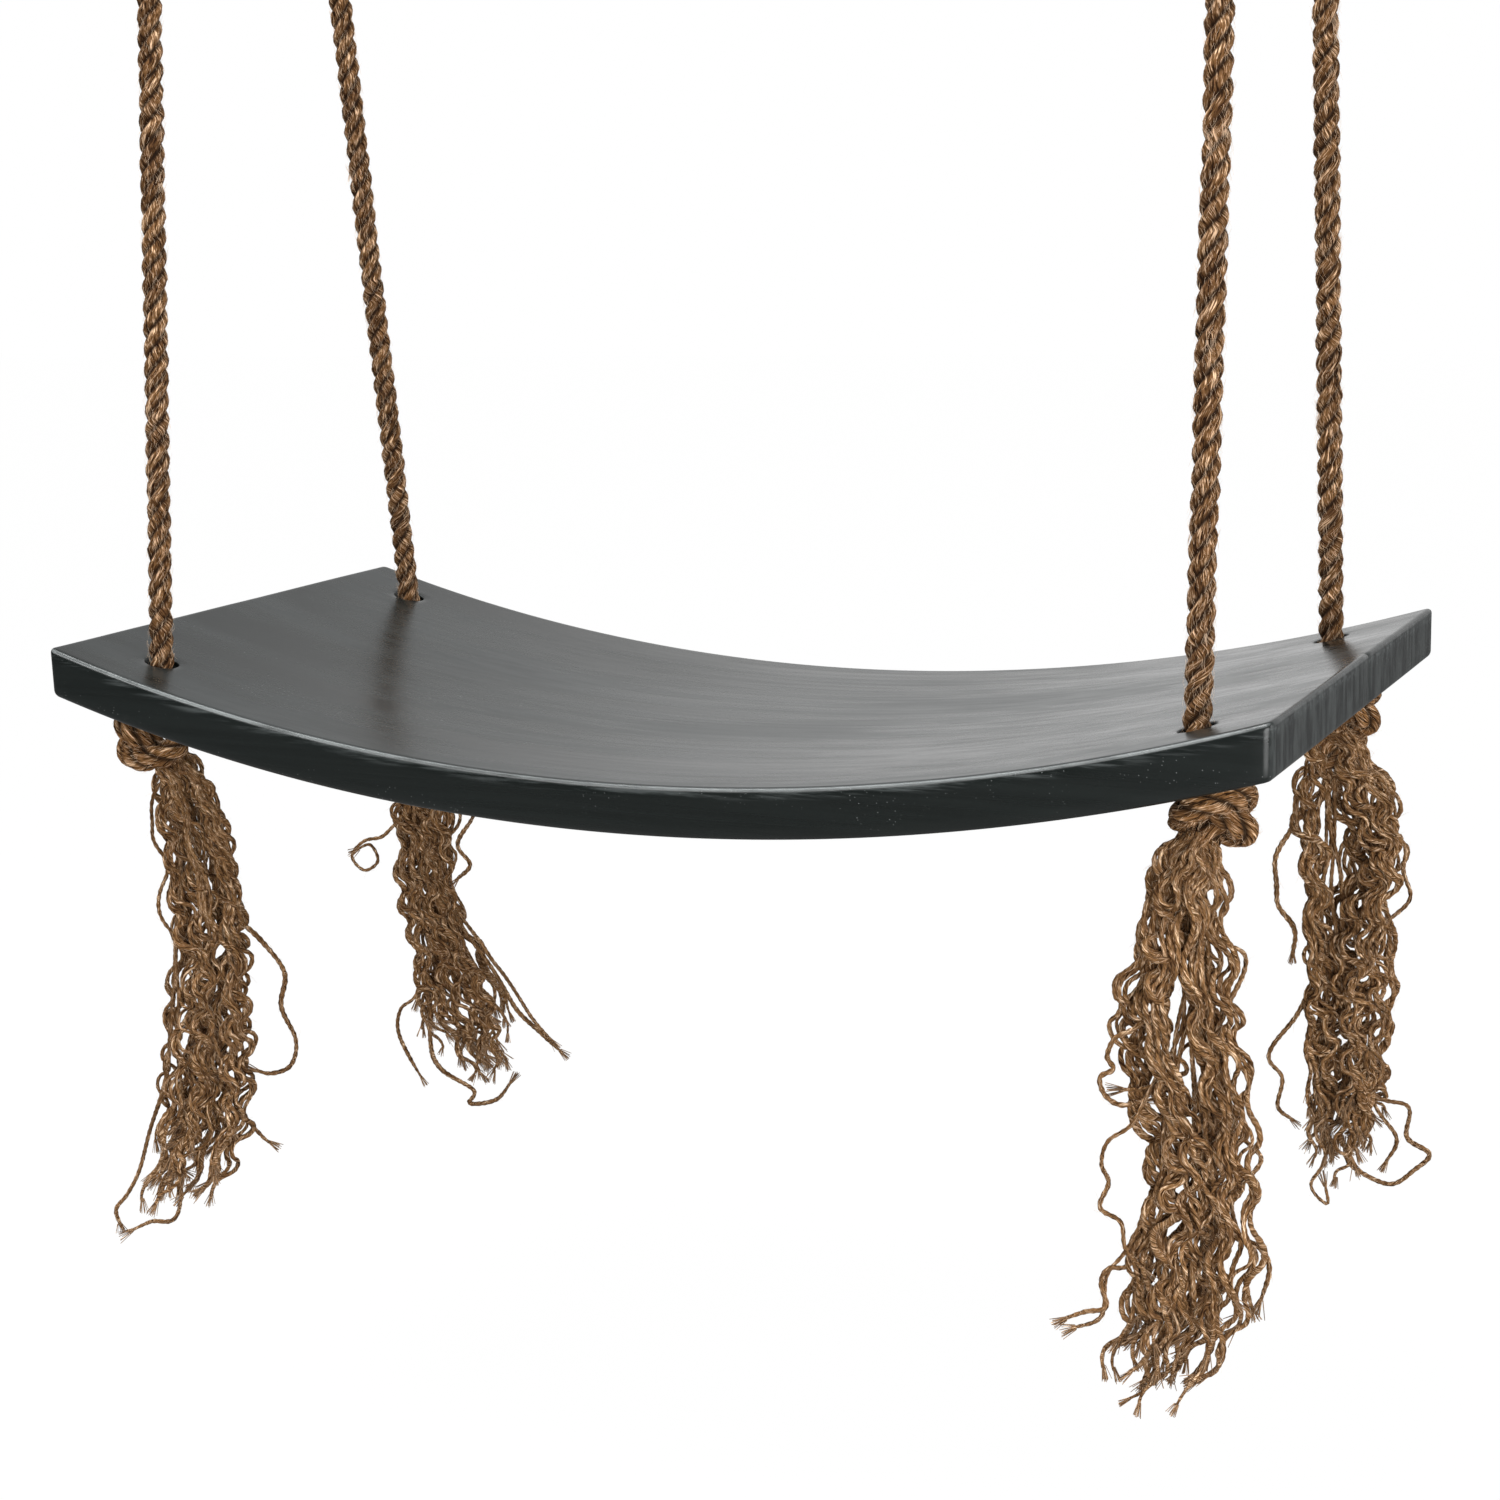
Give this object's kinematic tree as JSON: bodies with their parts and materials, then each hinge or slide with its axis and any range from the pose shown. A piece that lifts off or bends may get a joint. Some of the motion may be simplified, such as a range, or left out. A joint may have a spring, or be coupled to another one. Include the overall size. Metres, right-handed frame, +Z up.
{
  "type": "plank swing",
  "caption": "Curved wooden plank seat hung on knotted laid ropes that end in unravelled tassels, with eye bolts to fix it to a beam.",
  "frame": {"origin": "in the beam's underside, midway between the four eye bolts", "axes": "+X to the sitter's right as they face +Y, +Y towards the back edge, +Z up"},
  "size_m": [0.9, 0.43, 1.2198],
  "materials": {
    "seat": "satin charcoal paint",
    "rope": "laid jute, rough",
    "tassel": "unravelled jute yarn",
    "twine": "waxed twine",
    "steel": "galvanised",
    "thimble": "galvanised"
  },
  "bodies": {
    "root": {"eye_bolt_front_left": "steel", "eye_bolt_front_right": "steel", "eye_bolt_back_left": "steel", "eye_bolt_back_right": "steel", "bolt_washers": "steel"},
    "rope_front_left": {"rope_front_left": "rope", "thimble_front_left": "thimble", "whipping_front_left": "twine"},
    "rope_front_right": {"rope_front_right": "rope", "thimble_front_right": "thimble", "whipping_front_right": "twine"},
    "rope_back_left": {"rope_back_left": "rope", "thimble_back_left": "thimble", "whipping_back_left": "twine"},
    "rope_back_right": {"rope_back_right": "rope", "thimble_back_right": "thimble", "whipping_back_right": "twine"},
    "seat": {"seat_front_board": "seat", "seat_back_board": "seat", "knot_front_left": "rope", "knot_front_right": "rope", "knot_back_left": "rope", "knot_back_right": "rope"},
    "tassel_front_left": {"tassel_front_left": "tassel"},
    "tassel_front_right": {"tassel_front_right": "tassel"},
    "tassel_back_left": {"tassel_back_left": "tassel"},
    "tassel_back_right": {"tassel_back_right": "tassel"}
  },
  "joints": [
    {"name": "swing", "type": "hinge", "parent": "root", "child": "rope_front_left", "pos_m": [-0.39, -0.1, -0.053], "axis": [1, 0, 0], "range_deg": [-22, 22]},
    {"name": "seat_tilt", "type": "hinge", "parent": "rope_front_left", "child": "seat", "pos_m": [-0.39, -0.162, -0.703], "axis": [1, 0, 0], "range_deg": [-14, 14]},
    {"name": "rope_lean_front_right", "type": "hinge", "parent": "seat", "child": "rope_front_right", "pos_m": [0.39, -0.162, -0.703], "axis": [1, 0, 0], "range_deg": [-14, 14]},
    {"name": "rope_lean_back_left", "type": "hinge", "parent": "seat", "child": "rope_back_left", "pos_m": [-0.39, 0.162, -0.703], "axis": [1, 0, 0], "range_deg": [-14, 14]},
    {"name": "rope_lean_back_right", "type": "hinge", "parent": "seat", "child": "rope_back_right", "pos_m": [0.39, 0.162, -0.703], "axis": [1, 0, 0], "range_deg": [-14, 14]},
    {"name": "tassel_sway_front_left", "type": "hinge", "parent": "seat", "child": "tassel_front_left", "pos_m": [-0.39, -0.162, -0.78982], "axis": [1, 0, 0], "range_deg": [-25, 25]},
    {"name": "tassel_sway_front_right", "type": "hinge", "parent": "seat", "child": "tassel_front_right", "pos_m": [0.39, -0.162, -0.78982], "axis": [1, 0, 0], "range_deg": [-25, 25]},
    {"name": "tassel_sway_back_left", "type": "hinge", "parent": "seat", "child": "tassel_back_left", "pos_m": [-0.39, 0.162, -0.78982], "axis": [1, 0, 0], "range_deg": [-25, 25]},
    {"name": "tassel_sway_back_right", "type": "hinge", "parent": "seat", "child": "tassel_back_right", "pos_m": [0.39, 0.162, -0.78982], "axis": [1, 0, 0], "range_deg": [-25, 25]}
  ],
  "couplings": [
    {"joint": "seat_tilt", "follows": "swing", "ratio": -0.61728},
    {"joint": "rope_lean_front_right", "follows": "swing", "ratio": 0.61728},
    {"joint": "rope_lean_back_left", "follows": "swing", "ratio": 0.61728},
    {"joint": "rope_lean_back_right", "follows": "swing", "ratio": 0.61728}
  ]
}
